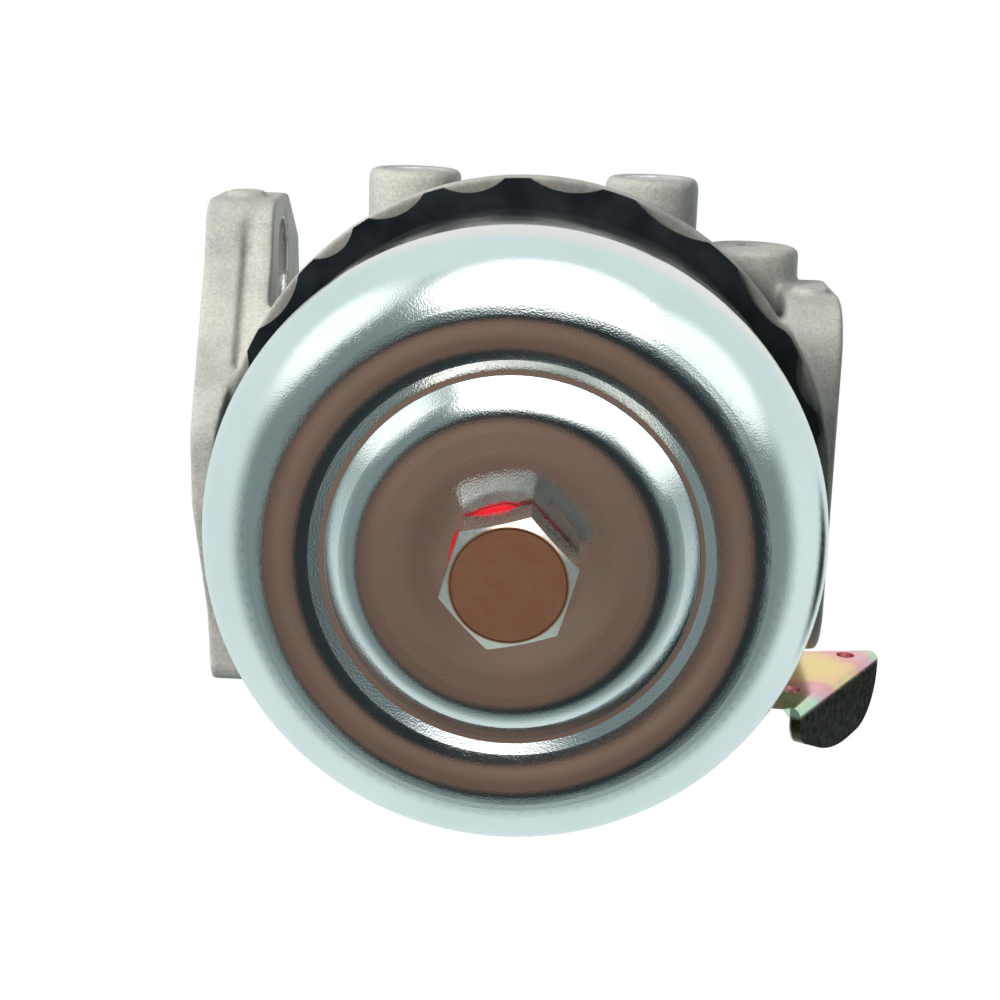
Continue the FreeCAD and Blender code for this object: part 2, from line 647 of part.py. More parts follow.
def throttle_shaft_bushings():
    rings = [washer_ring("bushing", "4.2", "throttle_shaft + shaft_play", length, ("throttle_x", "0", low))
             for low, length in (("throttle_boss_top - 8", "8"), ("low_bushing_z", "3.2"))]
    air_passage = rod("bushing_bore", "throttle_bore", "12", ("8", "0", "0"), "+X")
    rings[1] = cut("bushing_low", rings[1], [air_passage])
    return joined("throttle_shaft_bushings", rings)


def throttle_shaft_seal():
    return washer_ring("throttle_shaft_seal", "5.2", "throttle_shaft + 0.15", "0.8",
                       ("throttle_x", "0", "throttle_boss_top"))


def idle_speed_screw():
    """Its tip rests against the cast stop; the head points the other way."""
    x = "throttle_x + speed_screw_x"
    z = "throttle_lever_z + speed_screw_z"
    profile = [("0", "0"), ("1.3", "0"), ("idle_thread", "0.8"), ("idle_thread", "16"), ("3.1", "16"),
               ("3.1", "18.7"), ("2.6", "19.2"), ("0", "19.2")]
    body = turned("idle_speed_body", profile, (x, "9.1", z), "-Y")
    slot = block("idle_speed_slot", ("8", "2", "0.9"), (f"{x} - 4", "-11.2", f"{z} - 0.45"))
    return cut("idle_speed_screw", body, [slot])


def idle_speed_spring():
    """Between the throttle lever's ear and the head of the speed screw."""
    ear = ("throttle_x + speed_screw_x", "2.3", "throttle_lever_z + speed_screw_z")
    return screw_spring("idle_speed_spring", "2.55", "0.35", "9.2", 7, ear, "-Y")


# ---------------------------------------------------------------- choke

def choke_shaft():
    near = "choke_boss_end - 2.4"
    shaft = rod("choke_round", "choke_shaft", f"{near} + choke_lever_y + choke_sheet + 0.5",
                ("choke_x", f"-({near})", "0"), "+Y")
    flat = block("choke_flat", ("8", "2 * horn_bore + 0.4", "6"), ("choke_x - 4", "-horn_bore - 0.2", "0"))
    notch = rod("choke_notch", "0.9", "8", ("choke_x - 4", "detent_y", "choke_shaft + 0.35"), "+X")
    holes = screw_holes("choke_screw_hole",
                        lambda side: ("choke_x", f"{side} * choke_screw_y", "-3.5"), "+Z", "4")
    return cut("choke_shaft", shaft, [flat, notch] + holes)


def choke_plate():
    disc = rod("choke_disc", "horn_bore - plate_gap - 0.1", "plate_sheet", ("choke_x", "0", "0.02"))
    holes = screw_holes("choke_plate_hole",
                        lambda side: ("choke_x", f"{side} * choke_screw_y", "-1"), "+Z", "3")
    holes.append(rod("choke_bleed_hole", "2.2", "3", ("choke_x - 6.3", "0", "-1")))
    return cut("choke_plate", disc, holes)


def choke_plate_screws():
    screws = []
    for side in (-1, 1):
        y = f"{side} * choke_screw_y"
        slot = block("choke_screw_slot", ("6", "0.6", "2"),
                     ("choke_x - 3", f"{y} - 0.3", "plate_sheet + 0.62"))
        face = ("choke_x", y, "plate_sheet + 0.03")
        screws.append(small_screw("choke_screw", "3.2", face, "+Z", slot))
    return joined("choke_plate_screws", screws)


def choke_tab(start, end):
    """The part of the choke lever bent away from its face: deepest at its far corner, with a soft bend."""
    along = end - start
    depth = 9.4
    sheet_thickness = number("choke_sheet")
    corners = [(0, 0), (0, along.Length), (depth - 0.6, along.Length), (depth, 0.45 * along.Length), (4.2, 0)]
    tab = plate("choke_tab", corners, "choke_sheet")
    upright = runs_along(Vector(0, 0, 1))
    for i, (low, high, radius) in enumerate(((0, 0.1, 3.6), (0.4, 0.6, 28.0), (0.9, 1.1, 6.8))):
        tab = rounded(f"choke_tab_round_{i}", tab, radius,
                      lambda edge: upright(edge) and edge.CenterOfMass.x > 2.9
                      and low <= edge.CenterOfMass.y / along.Length <= high)
    tab = rounded("choke_tab_bend", tab, 1.2, lambda edge: edge.CenterOfMass.x < 0.01
                  and edge.CenterOfMass.z > sheet_thickness - 0.01 and runs_along(Vector(0, 1, 0))(edge))
    outward = Vector(0, 1, 0).cross(along).normalize()
    corner = Vector(number("choke_x"), number("choke_lever_y"), 0) + start - outward * sheet_thickness
    tab.Placement = Placement(corner, Rotation(Vector(0, 1, 0), along, Vector(), "XYZ"))
    return tab, outward * sheet_thickness


def choke_lever():
    """A flat lever with two link holes; its outer edge is bent away into a rounded tab."""
    fold_low = Vector(7.2, 0, -28.7)
    fold_high = Vector(20.3, 0, -4.0)
    tab, inset = choke_tab(fold_low, fold_high)
    inner_low = fold_low - inset
    inner_high = fold_high - inset
    corners = [(-6, 2), (-2, 6), (3, 5.5), (6.5, -5.9), (inner_high.x, inner_high.z),
               (inner_low.x, inner_low.z), (5.4, -24.8), (2.6, -24.6), (3.0, -11)]
    blank = plate("choke_blank", [(x, -z) for x, z in corners], "choke_sheet",
                  ("choke_x", "choke_lever_y", "0"), "+Y")
    holes = [rod("choke_link_hole", radius, "5", (f"choke_x + {x}", "choke_lever_y - 1", z), "+Y")
             for x, z, radius in ((15.6, -5.9, 1.2), (6.6, -21.0, 1.3))]
    holes.append(rod("choke_hub_hole", "choke_shaft", "5", ("choke_x", "choke_lever_y - 1", "0"), "+Y"))
    return cut("choke_lever", joined("choke_lever_blank", [blank, tab]), holes)


def choke_shaft_washer():
    return washer_ring("choke_shaft_washer", "5", "choke_shaft + 0.15", "0.45",
                       ("choke_x", "choke_lever_y - 0.6", "0"), "+Y")


def choke_detent_ball():
    ball = doc.addObject("Part::Sphere", "choke_detent_ball")
    bind(ball, Radius="1.5")
    return put(ball, ("choke_x", "detent_y", "choke_shaft + 1.54"))


def choke_detent_plug():
    body = rod("detent_plug", "1.7", "3", ("choke_x", "detent_y", "10.4"))
    slot = block("detent_plug_slot", ("5", "0.6", "1"), ("choke_x - 2.5", "detent_y - 0.3", "12.6"))
    return cut("choke_detent_plug", body, [slot])


# ---------------------------------------------------------------- float and fuel inlet

def float_ring():
    ring = washer_ring("float_form", "float_outer", "float_inner", "float_height",
                       ("bowl_x", "0", "float_top - float_height"))
    return rounded("float", ring, 2.6, lambda edge: edge.Curve.TypeId == "Part::GeomCircle")


def float_arm():
    """A strap on the float, with two ears for the hinge pin."""
    strap = block("arm_strap", ("14", "hinge_y + 3 - 11.5", "0.8"), ("bowl_x - 7", "11.5", "float_top"))
    ears = [block("arm_ear", ("1", "4", "hinge_z + 1.6 - float_top"),
                  (f"bowl_x + {side} * 6.5 - 0.5", "hinge_y - 2", "float_top"))
            for side in (-1, 1)]
    tang = block("arm_tang", ("4", "4", "0.6"), ("bowl_x - 2", "hinge_y - 1", "float_top + 0.7"))
    hole = rod("arm_pin_hole", "pin_radius + shaft_play", "20", ("bowl_x - 10", "hinge_y", "hinge_z"), "+X")
    return cut("float_arm", joined("float_arm_blank", [strap, tang] + ears), [hole])


def float_hinge_pin():
    return rod("float_hinge_pin", "pin_radius", "24", ("bowl_x - 12", "hinge_y", "hinge_z"), "+X")


def inlet_needle():
    profile = [("0", "0"), ("1.4", "0"), ("1.9", "0.5"), ("1.9", "9"), ("0.6", "12.4"), ("0", "12.6")]
    return turned("inlet_needle", profile, ("bowl_x", "seat_y", "float_top + 0.9"))


def inlet_seat():
    """A brass seat with a hexagon, screwed up into its boss; the needle slides in it."""
    low = "seat_boss_z - 0.5"
    solid = joined("seat_solid", [hexagon("seat_hexagon", "10", "2.6", ("bowl_x", "seat_y", low), "-Z", 0.2),
                                  rod("seat_thread", "4", "10.5", ("bowl_x", "seat_y", low))])
    bore_profile = [("0", "-4"), ("1.96", "-4"), ("1.96", "7"), ("0.8", "9.6"), ("0.8", "12"), ("0", "12")]
    return cut("inlet_seat", solid, [turned("seat_bore", bore_profile, ("bowl_x", "seat_y", low))])


def inlet_seat_gasket():
    return washer_ring("inlet_seat_gasket", "5.6", "4.05", "0.48", ("bowl_x", "seat_y", "seat_boss_z - 0.49"))


def fuel_inlet_elbow():
    """A brass elbow: thread and hexagon along Y, then a barbed hose end that points up."""
    bend_y = "inlet_face + 4.6"
    tail = [("0", "-3.1"), ("3.1", "-3.1"), ("3.1", "6"), ("2.6", "6.6"), ("2.6", "8")]
    barbs = [("3.4", "8"), ("2.6", "11"), ("3.4", "11"), ("2.6", "14"), ("3.4", "14"), ("2.4", "17.5"),
             ("0", "17.5")]
    pieces = [
        rod("elbow_thread", "4", "7.5", ("bowl_x", "inlet_face - 7.5", "inlet_z"), "+Y"),
        hexagon("elbow_hexagon", "10", "2.6", ("bowl_x", "inlet_face", "inlet_z"), "+Y", 0.2),
        rod("elbow_neck", "2.8", "3", ("bowl_x", "inlet_face + 1.6", "inlet_z"), "+Y"),
        turned("elbow_hose_end", tail + barbs, ("bowl_x", bend_y, "inlet_z")),
    ]
    holes = [rod("elbow_bore_up", "1.6", "19", ("bowl_x", bend_y, "inlet_z")),
             rod("elbow_bore_in", "1.3", "12.6", ("bowl_x", "inlet_face - 8", "inlet_z"), "+Y")]
    return cut("fuel_inlet_elbow", joined("elbow_solid", pieces), holes)


def passage_plugs():
    plugs = [washer_ring("plug", "3.4", "0", "1.4",
                         (f"bowl_x + {side} * boss_offset", "-boss_end + 0.3", "boss_z"), "+Y")
             for side in (-1, 1)]
    return joined("passage_plugs", plugs)


def idle_chamber_plug():
    profile = [("0", "0"), ("4.8", "0"), ("4.8", "0.8"), ("3.4", "1.1"), ("0", "1.5")]
    return turned("idle_chamber_plug", profile, ("plug_x", "0", "plug_z"))


def bowl_vent_tube():
    return washer_ring("bowl_vent_tube", "2", "1.4", "6.6", ("vent_x", "vent_y", "rim_z"))


# ---------------------------------------------------------------- assembly and export

def build():
    """Every separate piece of the carburetor, each under the name of its node."""
    return {
        "body_casting": body_casting(),
        "float_bowl": float_bowl(),
        "bowl_gasket": bowl_gasket(),
        "bowl_bolt": bowl_bolt(),
        "bowl_bolt_washer": bowl_bolt_washer(),
        "column_gasket": column_gasket(),
        "main_nozzle": main_nozzle(),
        "main_jet": main_jet(),
        "main_mixture_needle": main_mixture_needle(),
        "main_mixture_spring": screw_spring("main_mixture_spring", "3.2", "0.45",
                                            "main_head_z - main_boss_top", 6,
                                            ("bowl_x", "0", "main_boss_top")),
        "idle_mixture_needle": idle_mixture_needle(),
        "idle_mixture_spring": screw_spring("idle_mixture_spring", "2.55", "0.35",
                                            "idle_head_z - idle_boss_top", 6,
                                            ("idle_x", "idle_y", "idle_boss_top")),
        "throttle_shaft": throttle_shaft(),
        "throttle_plate": throttle_plate(),
        "throttle_plate_screws": throttle_plate_screws(),
        "throttle_lever": throttle_lever(),
        "throttle_lever_screw": throttle_lever_screw(),
        "throttle_shaft_bushings": throttle_shaft_bushings(),
        "throttle_shaft_seal": throttle_shaft_seal(),
        "idle_speed_screw": idle_speed_screw(),
        "idle_speed_spring": idle_speed_spring(),
        "choke_shaft": choke_shaft(),
        "choke_plate": choke_plate(),
        "choke_plate_screws": choke_plate_screws(),
        "choke_lever": choke_lever(),
        "choke_shaft_washer": choke_shaft_washer(),
        "choke_detent_ball": choke_detent_ball(),
        "choke_detent_spring": screw_spring("choke_detent_spring", "1.15", "0.32",
                                            "10.4 - choke_shaft - 3.06", 4,
                                            ("choke_x", "detent_y", "choke_shaft + 3.06")),
        "choke_detent_plug": choke_detent_plug(),
        "float": float_ring(),
        "float_arm": float_arm(),
        "float_hinge_pin": float_hinge_pin(),
        "inlet_needle": inlet_needle(),
        "inlet_seat": inlet_seat(),
        "inlet_seat_gasket": inlet_seat_gasket(),
        "fuel_inlet_elbow": fuel_inlet_elbow(),
        "passage_plugs": passage_plugs(),
        "idle_chamber_plug": idle_chamber_plug(),
        "bowl_vent_tube": bowl_vent_tube(),
    }


pieces = build()
doc.recompute()
for item in doc.Objects:
    if "Invalid" in item.State or "Error" in item.State:
        raise RuntimeError(f"{item.Label} did not recompute: {item.State}")
for label, piece in pieces.items():
    piece.Label = label
    if piece.Shape.isNull() or not piece.Shape.isValid():
        raise RuntimeError(f"{label} has no valid shape")
os.makedirs("parts", exist_ok=True)
for label, piece in pieces.items():
    piece.Shape.exportStep(f"parts/{label}.step")
    box = piece.Shape.BoundBox
    print(f"{label}: {len(piece.Shape.Solids)} solids, {piece.Shape.Volume:.1f} mm3, "
          f"x {box.XMin:.1f} {box.XMax:.1f}, y {box.YMin:.1f} {box.YMax:.1f}, "
          f"z {box.ZMin:.1f} {box.ZMax:.1f}")
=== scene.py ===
import json
import math

import bmesh
import bpy
import numpy as np
from mathutils import Euler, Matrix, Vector


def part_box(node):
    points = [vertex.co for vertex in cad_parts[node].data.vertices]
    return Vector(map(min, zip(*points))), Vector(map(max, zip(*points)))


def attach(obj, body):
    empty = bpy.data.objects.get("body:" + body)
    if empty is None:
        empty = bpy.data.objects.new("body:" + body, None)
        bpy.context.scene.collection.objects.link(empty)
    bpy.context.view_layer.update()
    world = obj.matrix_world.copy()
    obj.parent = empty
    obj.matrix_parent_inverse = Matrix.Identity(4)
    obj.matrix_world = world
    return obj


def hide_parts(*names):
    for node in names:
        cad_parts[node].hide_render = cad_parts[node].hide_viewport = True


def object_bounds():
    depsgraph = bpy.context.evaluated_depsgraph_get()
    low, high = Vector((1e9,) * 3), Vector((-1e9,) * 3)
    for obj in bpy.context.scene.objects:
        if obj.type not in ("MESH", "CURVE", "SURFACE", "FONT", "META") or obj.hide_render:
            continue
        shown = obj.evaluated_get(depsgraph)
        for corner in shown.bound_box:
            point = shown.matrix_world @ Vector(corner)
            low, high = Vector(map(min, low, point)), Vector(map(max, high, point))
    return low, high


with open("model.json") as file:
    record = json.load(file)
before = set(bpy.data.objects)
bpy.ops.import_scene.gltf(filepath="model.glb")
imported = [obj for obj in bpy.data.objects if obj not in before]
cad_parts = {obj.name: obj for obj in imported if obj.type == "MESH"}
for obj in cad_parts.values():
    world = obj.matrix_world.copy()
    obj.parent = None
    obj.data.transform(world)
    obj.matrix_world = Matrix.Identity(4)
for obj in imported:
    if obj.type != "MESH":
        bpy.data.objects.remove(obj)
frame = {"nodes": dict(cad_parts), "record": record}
CAD_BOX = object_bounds()
NODES = frame["nodes"]
MM = 0.001
# height of the casting's rim face over the bowl gasket; the casting is kept flat there and given painted
# shade there
RIM_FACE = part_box("bowl_gasket")[1].z
# two points on the fold of the choke lever, from the choke shaft's axis, where the bent tab's painted shade
# begins
FOLD = (Vector((7.2, 0, -28.7)) * MM, Vector((20.3, 0, -4.0)) * MM)

# the colours of the room, as the plated bowl reflects them
BROWN = (0.150, 0.096, 0.074)
LIGHT_BROWN = (0.225, 0.150, 0.118)
DARK = (0.022, 0.030, 0.033)
LOW_WALL = (0.20, 0.25, 0.255)
PALE_WALL = (0.68, 0.80, 0.80)
SOFTBOX = (1.9, 1.95, 1.95)
SIDE_SOFTBOX = (1.15, 1.25, 1.22)
CEILING = (0.82, 0.82, 0.80)
# soft patches of the room, painted in this order over pale walls that darken downwards: the colour,
# the direction of its middle, and the degrees from there at which it starts and finishes fading
PATCHES = (
    (SOFTBOX, (0.1, -0.84, -0.54), 24, 34),
    (SIDE_SOFTBOX, (0.72, -0.55, -0.42), 14, 26),
    (SIDE_SOFTBOX, (-0.74, -0.62, -0.22), 12, 26),
    (DARK, (0.03, 0.25, -0.965), 38, 49),
    (BROWN, (-0.17, 0.25, -0.953), 21, 36),
    (LIGHT_BROWN, (-0.12, 0.05, -0.99), 2, 24),
    (CEILING, (0.1, -0.35, 0.93), 22, 36),
    (DARK, (0.70, 0.27, 0.66), 5, 15),
)
# degrees from straight down between which the walls turn from low to pale
WALL_FADE = (62, 88)
# the light that dull surfaces get from below and from above, and the degrees from straight down
# between which one turns into the other
LOW_DIFFUSE = (0.21, 0.215, 0.21)
HIGH_DIFFUSE = (0.85, 0.86, 0.85)
DIFFUSE_FADE = (90, 140)

FLOOR_RADIUS = 40.0
FLOOR_HEIGHT = -0.75
FLOOR_GLOW = 0.62

# the casting's finer mesh: sizes in metres, how far a point moves towards its neighbours on cut and on
# as-cast surfaces, how many rings of points round a cut face move freely, and the share of faces kept
MERGE_DISTANCE = 1e-6
VOXEL_SIZE = 0.00036
CUT_WEIGHT = 0.05
CAST_WEIGHT = 0.6
SMOOTHING_ROUNDS = 6
EDGE_RINGS = 2
KEPT_SHARE = 0.4


def middle(node):
    """The middle of a CAD node's box."""
    low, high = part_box(node)
    return (low + high) / 2


# ---------------------------------------------------------------- camera and studio

def make_camera():
    """Looks up at the underside of the bowl, a little from the side with the round bosses."""
    data = bpy.data.cameras.new("camera")
    data.lens = 72
    data.sensor_width = 36
    data.clip_start = 0.005
    camera = bpy.data.objects.new("camera", data)
    camera.location = Vector((45.9, -57.9, -263.2)) * MM
    camera.rotation_euler = Euler([math.radians(a) for a in (166.23, -2.09, -1.94)])
    bpy.context.scene.collection.objects.link(camera)
    bpy.context.scene.camera = camera


def make_world():
    """The room as the metal reflects it: a brown patch below with a dark edge, where the bowl's flat faces
    mirror it, a white softbox on the side of the round bosses, pale walls and ceiling, and a small dark
    flag high on the +X side. Dull surfaces get an even light that is brighter from above, and the camera
    sees white."""
    world = bpy.data.worlds.new("studio")
    world.use_nodes = True
    tree = world.node_tree
    tree.nodes.clear()
    link = tree.links.new
    direction = tree.nodes.new("ShaderNodeTexCoord").outputs["Generated"]

    def math_node(operation, a, b=None):
        node = tree.nodes.new("ShaderNodeMath")
        node.operation = operation
        for socket, value in zip(node.inputs, (a, b)):
            if value is None:
                continue
            if isinstance(value, (int, float)):
                socket.default_value = value
            else:
                link(value, socket)
        return node.outputs[0]

    def angle_from(axis):
        """Degrees between the looked-up direction and an axis."""
        dot = tree.nodes.new("ShaderNodeVectorMath")
        dot.operation = "DOT_PRODUCT"
        dot.inputs[1].default_value = Vector(axis).normalized()
        link(direction, dot.inputs[0])
        return math_node("MULTIPLY", math_node("ARCCOSINE", dot.outputs["Value"]), math.degrees(1))

    def falloff(value, full, none):
        """1 where value is within full, 0 beyond none."""
        node = tree.nodes.new("ShaderNodeMapRange")
        node.interpolation_type = "SMOOTHSTEP"
        node.inputs["From Min"].default_value = full
        node.inputs["From Max"].default_value = none
        node.inputs["To Min"].default_value = 1
        node.inputs["To Max"].default_value = 0
        link(value, node.inputs["Value"])
        return node.outputs[0]

    def paint(base, colour, mask):
        """The base, a colour or a socket, covered by a colour or a socket where the mask is 1."""
        node = tree.nodes.new("ShaderNodeMix")
        node.data_type = "RGBA"
        link(mask, node.inputs["Factor"])
        for socket, value in zip(node.inputs[6:8], (base, colour)):
            if isinstance(value, tuple):
                socket.default_value = (*value, 1)
            else:
                link(value, socket)
        return node.outputs[2]

    down = angle_from((0, 0, -1))
    room = paint(PALE_WALL, LOW_WALL, falloff(down, *WALL_FADE))
    for colour, axis, full, none in PATCHES:
        room = paint(room, colour, falloff(angle_from(axis), full, none))

    seen = tree.nodes.new("ShaderNodeBackground")
    seen.inputs["Color"].default_value = (1, 1, 1, 1)
    lit = tree.nodes.new("ShaderNodeBackground")
    rays = tree.nodes.new("ShaderNodeLightPath").outputs
    even = paint(HIGH_DIFFUSE, LOW_DIFFUSE, falloff(down, *DIFFUSE_FADE))
    room = paint(room, even, rays["Is Diffuse Ray"])
    link(room, lit.inputs["Color"])
    chosen = tree.nodes.new("ShaderNodeMixShader")
    link(rays["Is Camera Ray"], chosen.inputs[0])
    link(lit.outputs[0], chosen.inputs[1])
    link(seen.outputs[0], chosen.inputs[2])
    out = tree.nodes.new("ShaderNodeOutputWorld")
    link(chosen.outputs[0], out.inputs[0])
    bpy.context.scene.world = world


def make_floor():
    """A pale floor that lights nothing and shows in no reflection."""
    mesh = bpy.data.meshes.new("floor")
    shape = bmesh.new()
    bmesh.ops.create_circle(shape, cap_ends=True, segments=96, radius=FLOOR_RADIUS)
    shape.to_mesh(mesh)
    shape.free()
    floor = bpy.data.objects.new("floor", mesh)
    floor.location = (0, 0, FLOOR_HEIGHT)
    pale = bpy.data.materials.new("floor")
    pale.use_nodes = True
    shader = pale.node_tree.nodes["Principled BSDF"]
    shader.inputs["Base Color"].default_value = (0.86, 0.86, 0.86, 1)
    shader.inputs["Roughness"].default_value = 0.9
    shader.inputs["Emission Color"].default_value = (1, 1, 1, 1)
    shader.inputs["Emission Strength"].default_value = FLOOR_GLOW
    floor.data.materials.append(pale)
    floor.visible_glossy = False
    floor.visible_diffuse = False
    bpy.context.scene.collection.objects.link(floor)


def add_light(name, place, aim, size, watts, colour=(1, 1, 1)):
    """A round soft light, size metres across, that shows in no reflection."""
    data = bpy.data.lights.new(name, "AREA")
    data.shape = "DISK"
    data.size = size
    data.energy = watts
    data.color = colour
    light = bpy.data.objects.new(name, data)
    light.location = place
    light.rotation_mode = "QUATERNION"
    light.rotation_quaternion = (Vector(aim) - Vector(place)).to_track_quat("-Z", "Y")
    light.visible_glossy = False
    bpy.context.scene.collection.objects.link(light)


def make_studio():
    make_world()
    make_floor()
    bpy.context.scene.view_settings.view_transform = "Standard"
    centre = (CAD_BOX[0] + CAD_BOX[1]) / 2
    add_light("key", centre + Vector((-0.45, -0.35, -0.5)), centre, size=0.35, watts=11.0,
              colour=(1, 0.985, 0.93))
    add_light("fill", centre + Vector((0.5, 0.2, 0.6)), centre, size=0.6, watts=3.0)


# ---------------------------------------------------------------- materials

class Surface:
    """A node material whose textures follow the object's own coordinates, in metres."""

    # most of a noise texture's values lie between these
    NOISE_LOW = 0.3
    NOISE_HIGH = 0.7

    def __init__(self, name, **sockets):
        self.material = bpy.data.materials.new(name)
        self.material.use_nodes = True
        self.tree = self.material.node_tree
        self.shader = self.tree.nodes["Principled BSDF"]
        self.place = self.tree.nodes.new("ShaderNodeTexCoord").outputs["Object"]
        for socket, value in sockets.items():
            self.shader.inputs[socket.replace("_", " ")].default_value = value

    def noise(self, size, detail=3.0, rough=0.5, stretch=(1, 1, 1)):
        """Noise whose features are about size metres across."""
        scale = self.tree.nodes.new("ShaderNodeMapping")
        scale.inputs["Scale"].default_value = stretch
        self.tree.links.new(self.place, scale.inputs["Vector"])
        node = self.tree.nodes.new("ShaderNodeTexNoise")
        node.inputs["Scale"].default_value = 1 / size
        node.inputs["Detail"].default_value = detail
        node.inputs["Roughness"].default_value = rough
        self.tree.links.new(scale.outputs[0], node.inputs["Vector"])
        return node.outputs["Fac"]

    def ramp(self, value, stops):
        """The colour at a value, between stops that each give a value and a colour or a shade of grey."""
        node = self.tree.nodes.new("ShaderNodeValToRGB")
        elements = node.color_ramp.elements
        while len(elements) < len(stops):
            elements.new(0.5)
        for element, (position, colour) in zip(elements, stops):
            element.position = position
            element.color = (*colour, 1) if len(colour) == 3 else (colour[0],) * 3 + (1,)
        self.tree.links.new(value, node.inputs[0])
        return node.outputs["Color"]

    def mix(self, blend, first, second, factor=1.0):
        """Two colours mixed in a blend mode, such as MIX or MULTIPLY."""
        node = self.tree.nodes.new("ShaderNodeMix")
        node.data_type = "RGBA"
        node.blend_type = blend
        if isinstance(factor, float):
            node.inputs["Factor"].default_value = factor
        else:
            self.tree.links.new(factor, node.inputs["Factor"])
        self.tree.links.new(first, node.inputs[6])
        self.tree.links.new(second, node.inputs[7])
        return node.outputs[2]

    def span(self, value, low, high):
        """A noise texture, spread between low and high."""
        node = self.tree.nodes.new("ShaderNodeMapRange")
        node.inputs["From Min"].default_value = self.NOISE_LOW
        node.inputs["From Max"].default_value = self.NOISE_HIGH
        node.inputs["To Min"].default_value = low
        node.inputs["To Max"].default_value = high
        self.tree.links.new(value, node.inputs["Value"])
        return node.outputs[0]

    def blend(self, low, high, factor):
        """From the value low to the value high as factor goes from 0 to 1."""
        return self.math("ADD", low, self.math("MULTIPLY", self.math("SUBTRACT", high, low), factor))

    def past(self, direction, low, high):
        """0 where the coordinate along a direction is below low metres, 1 where it is above high."""
        dot = self.tree.nodes.new("ShaderNodeVectorMath")
        dot.operation = "DOT_PRODUCT"
        self.tree.links.new(self.place, dot.inputs[0])
        dot.inputs[1].default_value = direction
        node = self.tree.nodes.new("ShaderNodeMapRange")
        node.inputs["From Min"].default_value = low
        node.inputs["From Max"].default_value = high
        self.tree.links.new(dot.outputs["Value"], node.inputs["Value"])
        return node.outputs[0]

    def distance(self, point, reach):
        """Distance from a point, as a fraction of reach metres."""
        node = self.tree.nodes.new("ShaderNodeVectorMath")
        node.operation = "DISTANCE"
        self.tree.links.new(self.place, node.inputs[0])
        node.inputs[1].default_value = point
        return self.math("DIVIDE", node.outputs["Value"], reach)

    def math(self, operation, first, second):
        node = self.tree.nodes.new("ShaderNodeMath")
        node.operation = operation
        self.tree.links.new(first, node.inputs[0])
        if isinstance(second, float):
            node.inputs[1].default_value = second
        else:
            self.tree.links.new(second, node.inputs[1])
        return node.outputs[0]

    def set(self, socket, value):
        """Link a texture to one of the shader's sockets."""
        self.tree.links.new(value, self.shader.inputs[socket])

    def bumps(self, *layers):
        """Each layer is a height texture and its depth in metres."""
        normal = None
        for height, depth in layers:
            node = self.tree.nodes.new("ShaderNodeBump")
            node.inputs["Distance"].default_value = depth
            self.tree.links.new(height, node.inputs["Height"])
            if normal:
                self.tree.links.new(normal, node.inputs["Normal"])
            normal = node.outputs[0]
        self.set("Normal", normal)


def cast_aluminium():
    """Die casting: warm grey, with a fine gritty skin and faint stains, and painted shade darkening the rim
    face between body and bowl.
    """
    s = Surface("cast_aluminium", Metallic=0.2)
    bowl = middle("float_bowl")
    rim_radius = 38.4 * MM
    grit = s.noise(0.00036, 2, 0.6)
    stains = s.noise(0.008, 4, 0.6)
    speckle = s.ramp(grit, [(0.30, (0.34, 0.34, 0.315)), (0.68, (0.47, 0.47, 0.44))])
    shade = s.ramp(stains, [(0.36, (0.80,)), (0.58, (1.0,))])
    # painted shade: the rim face round the bowl, between body and bowl, is darkened to 0.46 of the casting's
    # colour
    past_edge = s.ramp(s.distance((bowl.x, bowl.y, RIM_FACE), rim_radius), [(0.98, (0,)), (1.0, (1,))])
    outside_rim_shade = s.math("MAXIMUM", past_edge, s.past((0, 0, 1), RIM_FACE + 0.05 * MM, RIM_FACE + 0.45 * MM))
    s.set("Base Color", s.mix("MULTIPLY", s.mix("MULTIPLY", speckle, shade),
                              s.ramp(outside_rim_shade, [(0.0, (0.46,)), (1.0, (1.0,))])))
    s.set("Roughness", s.span(grit, 0.46, 0.62))
    s.bumps((s.noise(0.003, 3), 0.00022), (grit, 0.00006))
    return s.material


def machined_aluminium():
    """Milled and bored faces: brighter, with fine tool lines."""
    s = Surface("machined_aluminium", Metallic=0.9)
    lines = s.noise(0.00018, 2, 0.5, stretch=(1, 0.12, 1))
    s.set("Base Color", s.ramp(s.noise(0.006, 3), [(0.35, (0.66, 0.65, 0.62)), (0.65, (0.78, 0.77, 0.74))]))
    s.set("Roughness", s.span(lines, 0.24, 0.40))
    s.bumps((lines, 0.00001))
    return s.material


def zinc_plate():
    """Bright plating over drawn steel: clear reflections broken up by a fine grain."""
    s = Surface("zinc_plate", Metallic=1.0)
    broad = s.noise(0.02, 3)
    s.set("Base Color", s.ramp(broad, [(0.35, (0.84, 0.88, 0.88)), (0.65, (0.92, 0.94, 0.94))]))
    s.set("Roughness", s.span(s.noise(0.006, 3), 0.09, 0.15))
    s.bumps((s.noise(0.006, 2), 0.000012), (s.noise(0.0002, 1, 0.5), 0.000013))
    return s.material


def turned_metal(name, dark, light, roughness, depth=0.0000015):
    """Metal between two tints, with roughness between two values and tool marks of a depth in metres."""
    s = Surface(name, Metallic=1.0)
    s.set("Base Color", s.ramp(s.noise(0.005, 3), [(0.35, dark), (0.65, light)]))
    s.set("Roughness", s.span(s.noise(0.0008, 4), *roughness))
    s.bumps((s.noise(0.00025, 3), depth))
    return s.material


def matte(name, dark, light, roughness, grain, depth, **sockets):
    """A dull material between two tints, with a grain of a size and depth in metres."""
    s = Surface(name, **sockets)
    grit = s.noise(grain, 4, 0.6)
    s.set("Base Color", s.ramp(s.noise(grain * 8, 3), [(0.35, dark), (0.65, light)]))
    s.set("Roughness", s.span(grit, *roughness))
    s.bumps((grit, depth))
    return s.material


